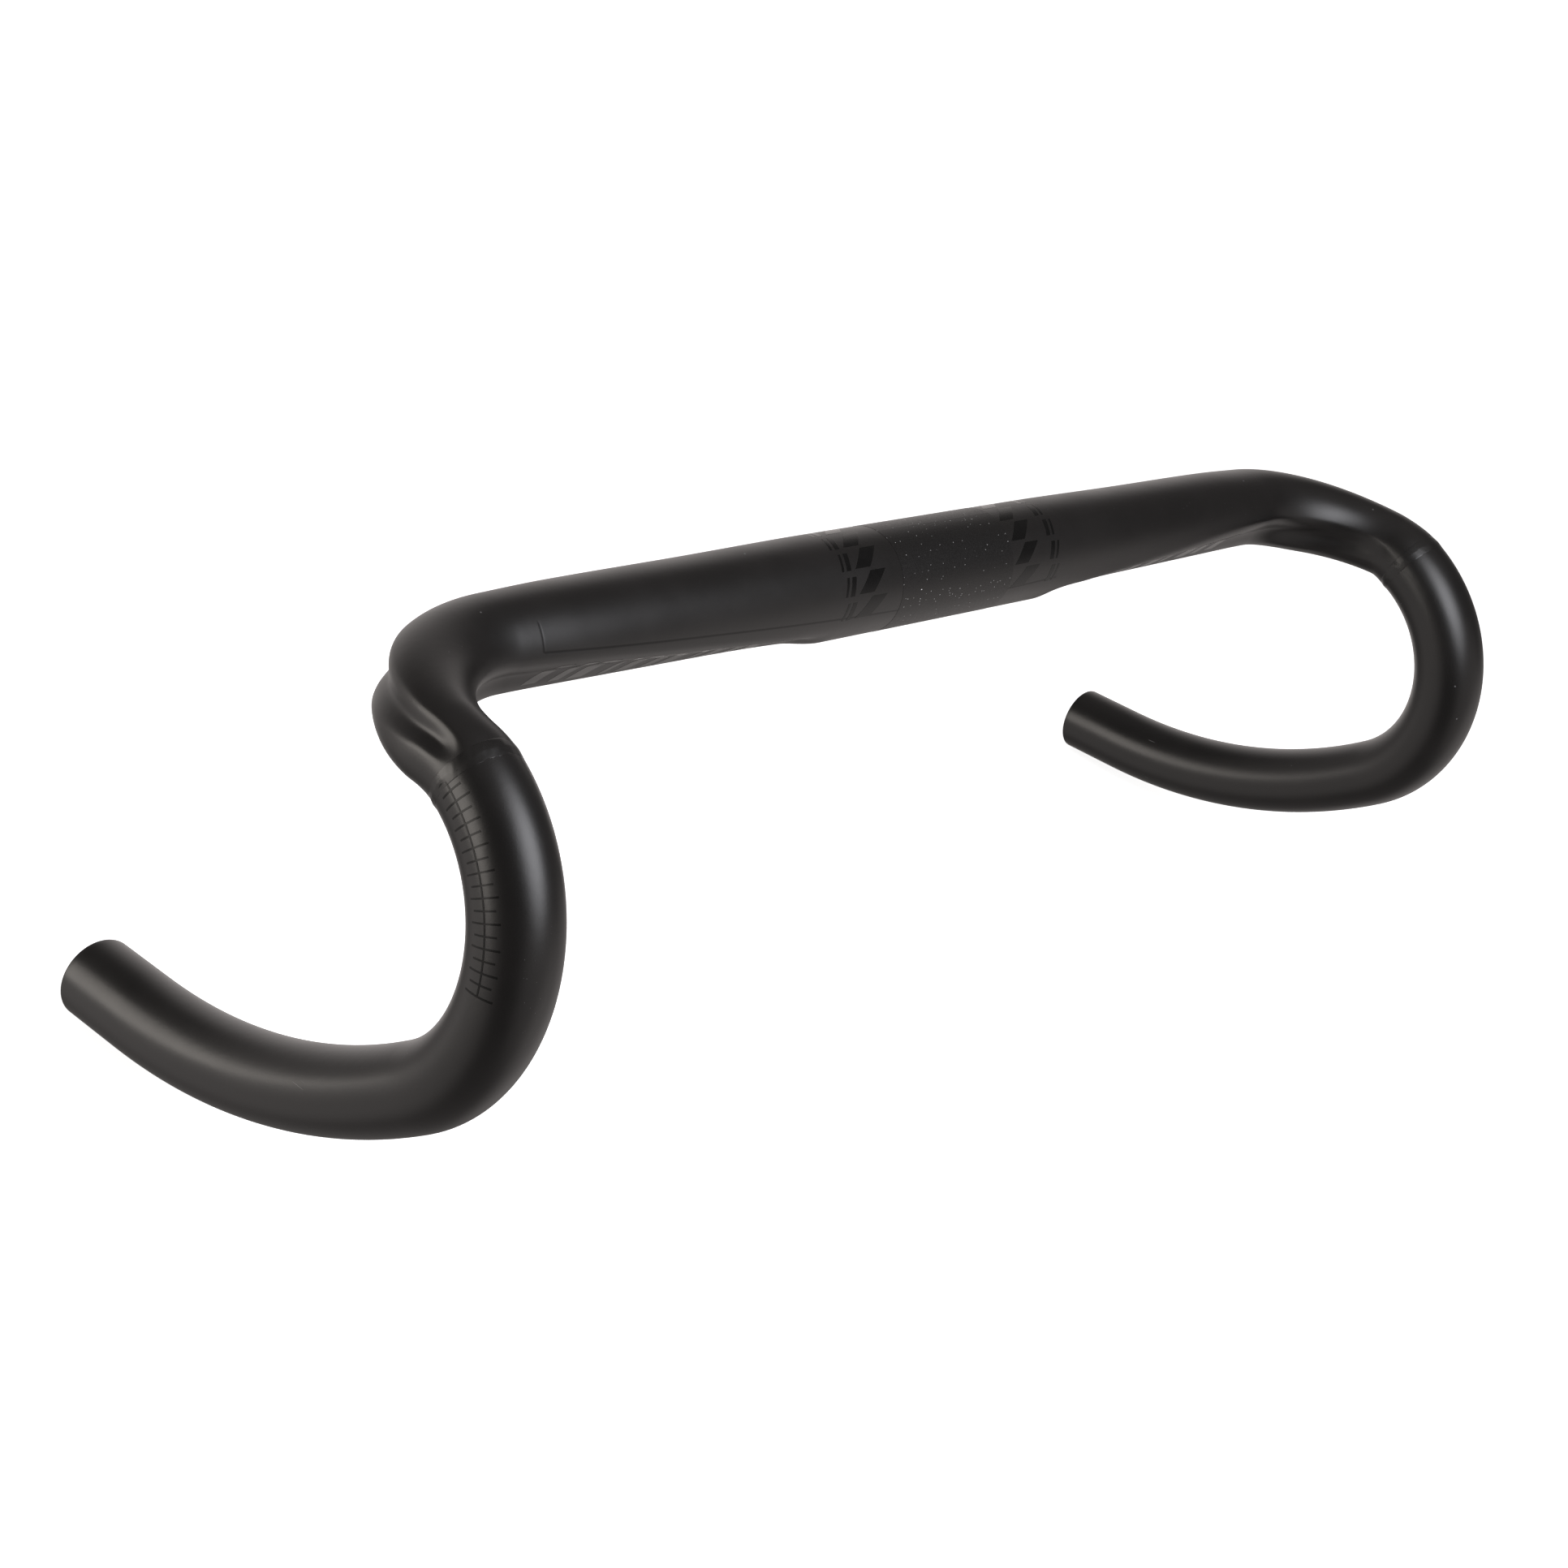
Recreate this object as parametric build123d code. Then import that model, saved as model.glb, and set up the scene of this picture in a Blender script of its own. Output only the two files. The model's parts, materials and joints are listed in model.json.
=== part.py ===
from build123d import *

import math
import os

# Drop handlebar for a road bicycle, moulded in carbon: a hollow centre section (clamp zone, tops,
# corners and ramps) with a hollow hook-and-drop bonded to each end over an inner sleeve.
#
# Frame: origin at the middle of the stem clamp zone, +X to the rider's left, +Y to the rear,
# +Z up with the ramps level. The rider's right is at -X. Millimetres and degrees.
#
# Every place on the bar is given by `s`, the length along the tube's centreline from the middle,
# and `around`, the angle round the tube: 0 at the top of the tops (the front of the hook),
# 90 at the front of the tops (the inner side of the ramp and hook).

# ---- driving dimensions ----
hood_width = 440.0  # between the two tubes where the levers sit, centre to centre
clamp_radius = 15.9  # 31.8 mm stem clamp standard
clamp_half_length = 50.0  # the true cylinder on each side of the middle
hook_radius = 11.9  # 23.8 mm lever clamp standard
corner_bend = 43.0  # centreline radius where the tops turn forward
hook_overlap = 7.0  # the hook starts to turn down this far before the corner ends
entry_bend, entry_angle = 34.0, 21.0  # tight turn from the ramp into the hook
hook_bend, hook_angle = 47.5, 118.5
drop_bend, drop_angle = 193.0, 34.5  # slow curve of the hand position in the drops
end_straight = 22.0  # straight length at each open end
lean = 5.5  # the hooks lean outward going down

wall = 2.2  # of the tops, corners and ramps
clamp_wall = 2.6
hook_wall = 2.0

ring_half_width = 0.4  # of the bonded joint ring
ring_proud = 0.15
sleeve_reach = 12.0  # of the joint sleeve, each side of the ring
sleeve_radius = 8.2
sleeve_wall = 1.5
sleeve_gap = 0.15  # adhesive film round the sleeve

groove_start = 50.0  # the cable grooves and the moulded shape begin at the end of the clamp zone
groove_full = 64.0

grip_half_length = 26.0  # of the friction coat on the clamp zone
grip_thickness = 0.05

scale_ticks = 19  # of the lever-position scale on each hook
scale_pitch = 2.87
scale_around = 284.0
scale_thickness = 0.08
scale_lift = 0.01
scale_line = 0.45
scale_margin = 0.05  # between the joint ring and the first tick
long_tick, short_tick = 8.5, 6.6

# ---- lengths along the centreline ----
corner_length = corner_bend * math.radians(90)
entry_length = entry_bend * math.radians(entry_angle)
hook_length = hook_bend * math.radians(hook_angle)
drop_length = drop_bend * math.radians(drop_angle)

# ---- directions of the right half ----
OUT = Vector(-1, 0, 0)
FORWARD = Vector(0, -1, 0)
UP = Vector(0, 0, 1)
DOWN_HOOK = OUT * math.sin(math.radians(lean)) - UP * math.cos(math.radians(lean))
HOOK_AXIS = FORWARD.cross(DOWN_HOOK)


def clamped(value, low, high):
    return max(low, min(high, value))


def turned_down(vector, angle):
    """The vector turned by `angle` radians from forward towards down, in the hook's plane."""
    along_axis = HOOK_AXIS * HOOK_AXIS.dot(vector)
    across = vector - along_axis
    return along_axis + across * math.cos(angle) + HOOK_AXIS.cross(across) * math.sin(angle)


def directions(past_tops):
    """Heading, top side and front side of the tube at a length past the end of the tops."""
    yaw = clamped(past_tops / corner_bend, 0, math.radians(90))
    past_entry = past_tops - (corner_length - hook_overlap)
    past_hook = past_entry - entry_length
    past_drop = past_hook - hook_length
    pitch = clamped(past_entry, 0, entry_length) / entry_bend
    pitch += clamped(past_hook, 0, hook_length) / hook_bend
    pitch += clamped(past_drop, 0, drop_length) / drop_bend
    heading = OUT * math.cos(yaw) + FORWARD * math.sin(yaw)
    front = FORWARD * math.cos(yaw) - OUT * math.sin(yaw)
    return turned_down(heading, pitch), turned_down(UP, pitch), turned_down(front, pitch)


def trace_corner(steps):
    """Points of the centreline round the corner, from the end of the tops."""
    step = corner_length / steps
    points = [Vector(0, 0, 0)]
    for index in range(steps):
        heading = directions((index + 0.5) * step)[0]
        points.append(points[-1] + heading * step)
    return points


corner_steps = 400
corner_points = trace_corner(corner_steps)
corner_pitch = hook_overlap / entry_bend

# the bends of the hook's plane after the corner: radius, pitch at the start, pitch at the end
entry_pitch = math.radians(entry_angle)
hook_pitch = entry_pitch + math.radians(hook_angle)
drop_pitch = hook_pitch + math.radians(drop_angle)
hook_bends = (
    (entry_bend, corner_pitch, entry_pitch),
    (hook_bend, entry_pitch, hook_pitch),
    (drop_bend, hook_pitch, drop_pitch),
)


def past_corner(length):
    """Step from the end of the corner to a length past it, along the hook and the drop."""
    reached = Vector(0, 0, 0)
    for bend, start, stop in hook_bends:
        turned = clamped(length / bend, 0, stop - start)
        length -= turned * bend
        forward_part = math.sin(start + turned) - math.sin(start)
        down_part = math.cos(start) - math.cos(start + turned)
        reached += (FORWARD * forward_part + DOWN_HOOK * down_part) * bend
    return reached + turned_down(FORWARD, drop_pitch) * length


# the most forward point of the hook is where its tube points straight down
upright_length = (entry_pitch - corner_pitch) * entry_bend + (math.radians(90) - entry_pitch) * hook_bend
most_forward = corner_points[-1] + past_corner(upright_length)

tops_end = hood_width / 2 - most_forward.dot(OUT)
corner_end = tops_end + corner_length
hook_start = corner_end - hook_overlap + entry_length
ring_at = hook_start + 1.0
drop_start = hook_start + hook_length
drop_end = drop_start + drop_length
bar_end = drop_end + end_straight


def place(s):
    """Centre, heading, top side and front side of the tube at length s."""
    heading, top, front = directions(s - tops_end)
    if s <= tops_end:
        return OUT * s, heading, top, front
    if s >= corner_end:
        return OUT * tops_end + corner_points[-1] + past_corner(s - corner_end), heading, top, front
    steps = (s - tops_end) / corner_length * corner_steps
    index = int(steps)
    here = corner_points[index]
    centre = here + (corner_points[index + 1] - here) * (steps - index)
    return OUT * tops_end + centre, heading, top, front


def cross_plane(s):
    """Plane across the tube, X towards the top side and Y towards the front side."""
    centre, heading, top, _ = place(s)
    return Plane(origin=centre, x_dir=top, z_dir=heading * -1)


# ---- section of the centre piece ----
def along(s, *stations):
    """Smooth value at s through (length, value) stations, level beyond the first and last."""
    if s <= stations[0][0]:
        return stations[0][1]
    if s >= stations[-1][0]:
        return stations[-1][1]
    index = max(i for i, station in enumerate(stations) if station[0] <= s)
    (s0, v0), (s1, v1) = stations[index], stations[index + 1]

    def slope(at):
        if at in (0, len(stations) - 1):
            return 0.0
        before, after = stations[at - 1], stations[at + 1]
        return (after[1] - before[1]) / (after[0] - before[0])

    t = (s - s0) / (s1 - s0)
    rise = v1 - v0
    start, finish = slope(index) * (s1 - s0), slope(index + 1) * (s1 - s0)
    curve = (start + finish - 2 * rise) * t + (3 * rise - 2 * start - finish)
    return v0 + t * (start + t * curve)


def bump(angle, centre, half_width):
    """1 at the centre angle, falling smoothly to 0 at half_width either side."""
    offset = abs((angle - centre + 180) % 360 - 180)
    if offset >= half_width:
        return 0.0
    return math.cos(math.radians(90) * offset / half_width) ** 2


ring_edge = ring_at - ring_half_width


def outer_radius(s, around):
    """Radius of the centre piece: a round tube with a cable groove at the front and at the rear."""
    radius = along(
        s, (groove_start, clamp_radius), (100, 15.4), (150, 15.1), (172, 14.4),
        (200, 13.2), (236, 11.5), (ring_edge, hook_radius),
    )
    inset = along(s, (groove_start, 0), (groove_full, 1.4), (110, 2.1), (152, 2.6), (174, 2.0), (205, 0))
    starts = (groove_start, 0), (groove_full, 1.0), (150, 1.3)
    front_depth = along(s, *starts, (200, 2.6), (225, 1.6), (ring_edge, 0))
    rear_depth = along(s, *starts, (205, 3.0), (230, 2.5), (239, 1.9), (ring_edge, 0))
    front = along(s, (groove_start, 138), (110, 128), (150, 115), (200, 105), (ring_edge, 91))
    rear = along(s, (groove_start, 222), (110, 232), (150, 245), (206, 278), (228, 295), (ring_edge, 308))
    width = along(
        s, (groove_start, 26), (110, 34), (150, 36), (204, 33), (228, 27), (239, 24), (ring_edge, 18)
    )

    # the underside between the grooves is set in, and the set-in fades out up the outer walls
    angle = around % 360
    if front < angle < rear:
        radius -= inset
    else:
        radius -= inset * max(bump(angle, front, width), bump(angle, rear, width))
    radius -= front_depth * bump(angle, front, width)
    radius -= rear_depth * bump(angle, rear, width)

    # the palm swell under the ramp, and the slight flat above its inner side
    radius += along(s, (194, 0), (216, 1.0), (232, 1.3), (ring_edge, 0)) * bump(angle, 236, 50)
    radius -= along(s, (214, 0), (234, 0.4), (ring_edge, 0)) * bump(angle, 42, 40)
    return radius


bore_blend_start = ring_at - sleeve_reach - 12.0
bore_blend_end = ring_at - sleeve_reach - 3.0


def inner_radius(s, around):
    """Radius of the bore: a constant wall, turning round where the joint sleeve sits."""
    thickness = along(s, (groove_start, clamp_wall), (groove_full, wall))
    to_round = along(s, (bore_blend_start, 0), (bore_blend_end, 1))
    round_bore = sleeve_radius + sleeve_gap
    return (outer_radius(s, around) - thickness) * (1 - to_round) + round_bore * to_round


def stations_between(start, stop, spacing):
    count = max(1, round((stop - start) / spacing))
    return [start + (stop - start) * index / count for index in range(count)]


section_points = 36
loft_stations = (
    stations_between(groove_start, groove_full + 4, 3.0)
    + stations_between(groove_full + 4, tops_end - 8, 8.0)
    + stations_between(tops_end - 8, bore_blend_start, 4.0)
    + stations_between(bore_blend_start, ring_edge, 2.0)
    + [ring_edge]
)


def section_wire(s, radius_at):
    """Closed curve round the tube at s; a true circle at both ends of the moulded shape."""
    if s in (loft_stations[0], loft_stations[-1]):
        return Wire([Edge.make_circle(radius_at(s, 0), plane=cross_plane(s))])
    centre, _, top, front = place(s)
    points = []
    for index in range(section_points):
        around = 360 * index / section_points
        direction = top * math.cos(math.radians(around)) + front * math.sin(math.radians(around))
        points.append(centre + direction * radius_at(s, around))
    even_steps = [index / section_points for index in range(section_points + 1)]
    return Wire([Edge.make_spline(points, periodic=True, parameters=even_steps)])


def moulded_skin(radius_at):
    """Side faces of the moulded shape of the right half, without its flat ends."""
    loft = Solid.make_loft([section_wire(s, radius_at) for s in loft_stations])
    return [face for face in loft.faces() if face.geom_type != GeomType.PLANE]


def ring_face(s, outside, inside):
    """Flat ring across the tube at s."""
    plane = cross_plane(s)
    hole = Wire.make_circle(inside, plane=plane)
    return Face(Wire.make_circle(outside, plane=plane), [hole])


def bend_axis(s, bend):
    """Axis of the bend that the tube follows from s in the hook's plane."""
    centre, heading, _, _ = place(s)
    return Axis(centre + HOOK_AXIS.cross(heading) * bend, HOOK_AXIS)


def bent_tube(start, bend, angle, outside, inside):
    """Part of a torus: the tube from `start` round a bend of the hook's plane."""
    return Solid.revolve(ring_face(start, outside, inside), angle, bend_axis(start, bend))


def straight_tube(start, length, outside, inside):
    centre, heading, _, _ = place(start)
    return Solid.extrude(ring_face(start, outside, inside), heading * length)


def fused(pieces):
    whole = pieces[0]
    for piece in pieces[1:]:
        whole = whole + piece
    return whole


def arc_degrees(length, bend):
    return math.degrees(length / bend)


# ---- pieces ----
def make_centre_section():
    """One closed skin: the clamp cylinder, both moulded halves, the bore and the two joint faces."""
    right = moulded_skin(outer_radius) + moulded_skin(inner_radius)
    right.append(ring_face(ring_edge, outer_radius(ring_edge, 0), inner_radius(ring_edge, 0)))
    clamp_tube = Solid.extrude(
        ring_face(clamp_half_length, clamp_radius, clamp_radius - clamp_wall),
        OUT * -2 * clamp_half_length,
    )
    clamp_faces = [face for face in clamp_tube.faces() if face.geom_type == GeomType.CYLINDER]
    left = [face.mirror(Plane.YZ) for face in right]
    return Solid(Shell(right + clamp_faces + left))


def make_drop():
    joint_face = ring_at + ring_half_width
    socket_end = ring_at + sleeve_reach + 1.0
    bore = hook_radius - hook_wall
    socket = sleeve_radius + sleeve_gap
    return fused([
        bent_tube(joint_face, hook_bend, arc_degrees(socket_end - joint_face, hook_bend), hook_radius, socket),
        bent_tube(socket_end, hook_bend, arc_degrees(drop_start - socket_end, hook_bend), hook_radius, bore),
        bent_tube(drop_start, drop_bend, drop_angle, hook_radius, bore),
        straight_tube(drop_end, end_straight, hook_radius, bore),
    ])


def make_bond_line():
    width_angle = arc_degrees(2 * ring_half_width, hook_bend)
    return bent_tube(ring_edge, hook_bend, width_angle, hook_radius + ring_proud, sleeve_radius + sleeve_gap)


def make_joint_sleeve():
    start, stop = ring_at - sleeve_reach, ring_at + sleeve_reach
    stations = stations_between(start, stop, 2.0) + [stop]

    def tube_core(radius):
        return Solid.make_loft([Wire([Edge.make_circle(radius, plane=cross_plane(s))]) for s in stations])

    return tube_core(sleeve_radius) - tube_core(sleeve_radius - sleeve_wall)


def make_clamp_grip_coat():
    face = ring_face(grip_half_length, clamp_radius + grip_thickness, clamp_radius)
    return Solid.extrude(face, OUT * -2 * grip_half_length)


def scale_patch(s, around, width, length):
    """Thin patch on the hook: `width` round the tube and `length` along it."""
    half_angle = math.degrees(width / 2 / hook_radius)
    low = hook_radius + scale_lift
    high = low + scale_thickness
    plane = cross_plane(s)
    corners = []
    for radius, angle in (
        (low, around - half_angle), (low, around), (low, around + half_angle),
        (high, around + half_angle), (high, around), (high, around - half_angle),
    ):
        turn = math.radians(angle)
        corners.append(plane.from_local_coords(Vector(radius * math.cos(turn), radius * math.sin(turn), 0)))
    outline = Wire([
        Edge.make_three_point_arc(corners[0], corners[1], corners[2]),
        Edge.make_line(corners[2], corners[3]),
        Edge.make_three_point_arc(corners[3], corners[4], corners[5]),
        Edge.make_line(corners[5], corners[0]),
    ])
    return Solid.revolve(Face(outline), arc_degrees(length, hook_bend), bend_axis(s, hook_bend))


def make_lever_scale():
    """Printed scale: ticks across the hook, long and short by turns, joined by a line along it."""
    first = ring_at + ring_half_width + scale_margin
    patches = []
    for index in range(scale_ticks):
        tick_at = first + index * scale_pitch
        width = long_tick if index % 2 == 0 else short_tick
        patches.append(scale_patch(tick_at, scale_around, width, scale_line))
        if index < scale_ticks - 1:
            gap = scale_pitch - scale_line
            patches.append(scale_patch(tick_at + scale_line, scale_around, scale_line, gap))
    return Compound(patches)


os.makedirs("parts", exist_ok=True)

nodes = {
    "centre_section": make_centre_section(),
    "clamp_grip_coat": make_clamp_grip_coat(),
}
for name, right_piece in (
    ("drop", make_drop()),
    ("bond_line", make_bond_line()),
    ("joint_sleeve", make_joint_sleeve()),
    ("lever_scale", make_lever_scale()),
):
    nodes[name + "_right"] = right_piece
    nodes[name + "_left"] = right_piece.mirror(Plane.YZ)

for name, piece in nodes.items():
    export_step(piece, "parts/" + name + ".step")
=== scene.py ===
import json
import math

import bmesh
import bpy
import numpy as np
from mathutils import Matrix, Vector


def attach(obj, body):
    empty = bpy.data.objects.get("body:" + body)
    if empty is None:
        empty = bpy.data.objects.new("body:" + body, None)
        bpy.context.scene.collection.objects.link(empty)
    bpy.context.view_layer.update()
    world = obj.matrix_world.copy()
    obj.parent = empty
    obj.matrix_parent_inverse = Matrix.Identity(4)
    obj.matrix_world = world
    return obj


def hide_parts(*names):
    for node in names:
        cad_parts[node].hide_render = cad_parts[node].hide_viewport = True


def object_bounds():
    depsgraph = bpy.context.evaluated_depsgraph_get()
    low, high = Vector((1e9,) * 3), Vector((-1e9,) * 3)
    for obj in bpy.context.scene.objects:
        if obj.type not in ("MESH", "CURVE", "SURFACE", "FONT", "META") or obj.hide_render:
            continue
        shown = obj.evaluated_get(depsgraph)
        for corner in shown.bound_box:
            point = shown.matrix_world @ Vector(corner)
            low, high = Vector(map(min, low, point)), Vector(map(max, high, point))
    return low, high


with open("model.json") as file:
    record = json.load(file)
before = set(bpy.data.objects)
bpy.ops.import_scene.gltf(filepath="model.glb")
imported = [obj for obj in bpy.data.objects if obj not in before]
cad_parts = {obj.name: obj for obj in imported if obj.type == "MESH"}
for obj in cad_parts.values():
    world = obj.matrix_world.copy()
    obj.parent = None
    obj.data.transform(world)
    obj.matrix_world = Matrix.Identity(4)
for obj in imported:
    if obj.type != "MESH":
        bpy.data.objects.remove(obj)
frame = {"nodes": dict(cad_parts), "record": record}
cad_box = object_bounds()
mounts = {mount["name"]: mount for mount in frame["record"]["mounts"]}

# A bare carbon drop handlebar. Every place on it is given by `s`, the length in millimetres along
# the tube's centreline from the middle, and `around`, the angle in degrees round the tube: 0 at
# the top of the tops (the front of the hook), 90 at the front of the tops (the inner side of the
# hook). The rider's right half is at -X and the left half is its mirror image.

MM = 0.001

# ---- dimensions shared with the CAD, millimetres and degrees ----
CLAMP_RADIUS = mounts["stem_clamp"]["dims"]["r_mm"]
END_BORE = mounts["bar_end_right"]["dims"]["r_mm"]
HALF_WIDTH = 220.0
HOOK_RADIUS = 11.9
CORNER_BEND = 43.0
HOOK_OVERLAP = 7.0
ENTRY_BEND, ENTRY_ANGLE = 34.0, 21.0
HOOK_BEND, HOOK_ANGLE = 47.5, 118.5
DROP_BEND, DROP_ANGLE = 193.0, 34.5
END_STRAIGHT = 22.0
LEAN = 5.5
WALL = 2.2
CLAMP_WALL = 2.6
SLEEVE_BORE = 8.35
SLEEVE_REACH = 12.0
SOCKET_MARGIN = 1.0
RING_HALF_WIDTH = 0.4
GROOVE_START = 50.0
GROOVE_FULL = 64.0
SCALE_TICKS = 19
SCALE_PITCH = 2.87
SCALE_AROUND = 284.0
SCALE_LINE = 0.45
SCALE_MARGIN = 0.05
LONG_TICK, SHORT_TICK = 8.5, 6.6

CORNER_LENGTH = CORNER_BEND * math.radians(90)
ENTRY_LENGTH = ENTRY_BEND * math.radians(ENTRY_ANGLE)
HOOK_LENGTH = HOOK_BEND * math.radians(HOOK_ANGLE)
DROP_LENGTH = DROP_BEND * math.radians(DROP_ANGLE)

OUT = np.array([-1.0, 0.0, 0.0])
FORWARD = np.array([0.0, -1.0, 0.0])
UP = np.array([0.0, 0.0, 1.0])
DOWN_HOOK = OUT * math.sin(math.radians(LEAN)) - UP * math.cos(math.radians(LEAN))
HOOK_AXIS = np.cross(FORWARD, DOWN_HOOK)


# ---- centreline ----
def turned_down(vectors, angles):
    """Rows of vectors turned by their angle about the hook's axis, from forward towards down."""
    cos, sin = np.cos(angles)[:, None], np.sin(angles)[:, None]
    along_axis = (vectors @ HOOK_AXIS)[:, None] * HOOK_AXIS
    across = vectors - along_axis
    return along_axis + across * cos + np.cross(HOOK_AXIS, across) * sin


def directions(past_tops):
    """Heading, top side and front side of the right half's tube, past the end of the tops."""
    yaw = np.clip(past_tops / CORNER_BEND, 0, math.radians(90))
    past_entry = past_tops - (CORNER_LENGTH - HOOK_OVERLAP)
    past_hook = past_entry - ENTRY_LENGTH
    past_drop = past_hook - HOOK_LENGTH
    pitch = np.clip(past_entry, 0, ENTRY_LENGTH) / ENTRY_BEND
    pitch = pitch + np.clip(past_hook, 0, HOOK_LENGTH) / HOOK_BEND
    pitch = pitch + np.clip(past_drop, 0, DROP_LENGTH) / DROP_BEND
    cos, sin = np.cos(yaw)[:, None], np.sin(yaw)[:, None]
    heading = OUT * cos + FORWARD * sin
    front = FORWARD * cos - OUT * sin
    top = np.broadcast_to(UP, heading.shape)
    return turned_down(heading, pitch), turned_down(top, pitch), turned_down(front, pitch)


TRACE_STEP = 0.05
BEND_LENGTH = CORNER_LENGTH - HOOK_OVERLAP + ENTRY_LENGTH + HOOK_LENGTH + DROP_LENGTH + END_STRAIGHT
TRACE_AT = np.arange(0, BEND_LENGTH + 2 * TRACE_STEP, TRACE_STEP)
TRACE_HEADINGS = directions(TRACE_AT[:-1] + TRACE_STEP / 2)[0]
TRACE = np.vstack([np.zeros(3), np.cumsum(TRACE_HEADINGS * TRACE_STEP, axis=0)])

TOPS_END = HALF_WIDTH - (TRACE @ OUT)[np.argmax(TRACE @ FORWARD)]
RING_AT = TOPS_END + CORNER_LENGTH - HOOK_OVERLAP + ENTRY_LENGTH + 1.0
RING_EDGE = RING_AT - RING_HALF_WIDTH
BAR_END = TOPS_END + BEND_LENGTH


def place(s):
    """Centre, heading, top side and front side of the right half's tube at lengths s."""
    s = np.asarray(s, float)
    heading, top, front = directions(s - TOPS_END)
    past = np.clip(s - TOPS_END, 0, None)
    centre = np.stack([np.interp(past, TRACE_AT, TRACE[:, axis]) for axis in range(3)], axis=1)
    centre = centre + OUT * np.minimum(s, TOPS_END)[:, None]
    return centre, heading, top, front


def surface_points(s, around, radius):
    """Points at signed lengths s (positive on the rider's right), angles and radii, in metres."""
    s, around, radius = (np.asarray(value, float) for value in np.broadcast_arrays(s, around, radius))
    shape = s.shape
    centre, _, top, front = place(np.abs(s).ravel())
    turn = np.radians(around.ravel())
    outward = top * np.cos(turn)[:, None] + front * np.sin(turn)[:, None]
    points = centre + outward * radius.ravel()[:, None]
    points[:, 0] *= np.where(s.ravel() >= 0, 1, -1)
    return points.reshape(shape + (3,)) * MM


# ---- section of the centre piece ----
def along(s, *stations):
    """Smooth value at s through (length, value) stations, level beyond the first and last."""
    at = np.array([station[0] for station in stations], float)
    value = np.array([station[1] for station in stations], float)
    slope = np.zeros(len(at))
    slope[1:-1] = (value[2:] - value[:-2]) / (at[2:] - at[:-2])
    s = np.clip(s, at[0], at[-1])
    index = np.clip(np.searchsorted(at, s, side="right") - 1, 0, len(at) - 2)
    span = at[index + 1] - at[index]
    t = (s - at[index]) / span
    rise = value[index + 1] - value[index]
    start, finish = slope[index] * span, slope[index + 1] * span
    curve = (start + finish - 2 * rise) * t + (3 * rise - 2 * start - finish)
    return value[index] + t * (start + t * curve)


def bump(angle, centre, half_width):
    """1 at the centre angle, falling smoothly to 0 at half_width either side."""
    offset = np.abs((angle - centre + 180) % 360 - 180)
    return np.cos(np.radians(90) * np.clip(offset / half_width, 0, 1)) ** 2


def front_groove(s):
    """Centre angle and half width of the front cable groove."""
    centre = along(s, (GROOVE_START, 138), (110, 128), (150, 115), (200, 105), (RING_EDGE, 91))
    return centre, groove_width(s)


def rear_groove(s):
    """Centre angle and half width of the rear cable groove."""
    stations = (GROOVE_START, 222), (110, 232), (150, 245), (206, 278), (228, 295), (RING_EDGE, 308)
    return along(s, *stations), groove_width(s)


def groove_width(s):
    """Half width of both cable grooves, in degrees round the tube."""
    stations = (GROOVE_START, 26), (110, 34), (150, 36), (204, 33), (228, 27), (239, 24), (RING_EDGE, 18)
    return along(s, *stations)


def centre_radius(s, around):
    """Radius of the centre piece: a round tube with a cable groove at the front and at the rear."""
    s = np.abs(s)
    radius = along(
        s, (GROOVE_START, CLAMP_RADIUS), (100, 15.4), (150, 15.1), (172, 14.4),
        (200, 13.2), (236, 11.5), (RING_EDGE, HOOK_RADIUS),
    )
    inset = along(s, (GROOVE_START, 0), (GROOVE_FULL, 1.4), (110, 2.1), (152, 2.6), (174, 2.0), (205, 0))
    starts = (GROOVE_START, 0), (GROOVE_FULL, 1.0), (150, 1.3)
    front_depth = along(s, *starts, (200, 2.6), (225, 1.6), (RING_EDGE, 0))
    rear_depth = along(s, *starts, (205, 3.0), (230, 2.5), (239, 1.9), (RING_EDGE, 0))
    front, width = front_groove(s)
    rear, _ = rear_groove(s)
    # the underside between the grooves is set in, and the set-in fades out up the outer walls
    angle = around % 360
    in_front, in_rear = bump(angle, front, width), bump(angle, rear, width)
    under = np.where((angle > front) & (angle < rear), 1.0, np.maximum(in_front, in_rear))
    # the palm swell under the ramp, and the slight flat above its inner side
    swell = along(s, (194, 0), (216, 1.0), (232, 1.3), (RING_EDGE, 0)) * bump(angle, 236, 50)
    flat = along(s, (214, 0), (234, 0.4), (RING_EDGE, 0)) * bump(angle, 42, 40)
    return radius - inset * under - front_depth * in_front - rear_depth * in_rear + swell - flat


def outside_radius(s, around):
    """Radius of the finished bar anywhere along it."""
    return np.where(np.abs(s) < RING_EDGE, centre_radius(s, around), HOOK_RADIUS)


# ---- mesh building ----
def new_object(name, points, faces, material, uvs=None):
    """Mesh object from points in metres and faces of point numbers, with smooth shading."""
    mesh = bpy.data.meshes.new(name)
    mesh.from_pydata(points.tolist(), [], faces)
    mesh.update()
    mesh.shade_smooth()
    if uvs is not None:
        layer = mesh.uv_layers.new(name="tube")
        layer.data.foreach_set("uv", np.asarray(uvs, np.float32).ravel())
    piece = bpy.data.objects.new(name, mesh)
    bpy.context.scene.collection.objects.link(piece)
    mesh.materials.append(material)
    return piece


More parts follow.
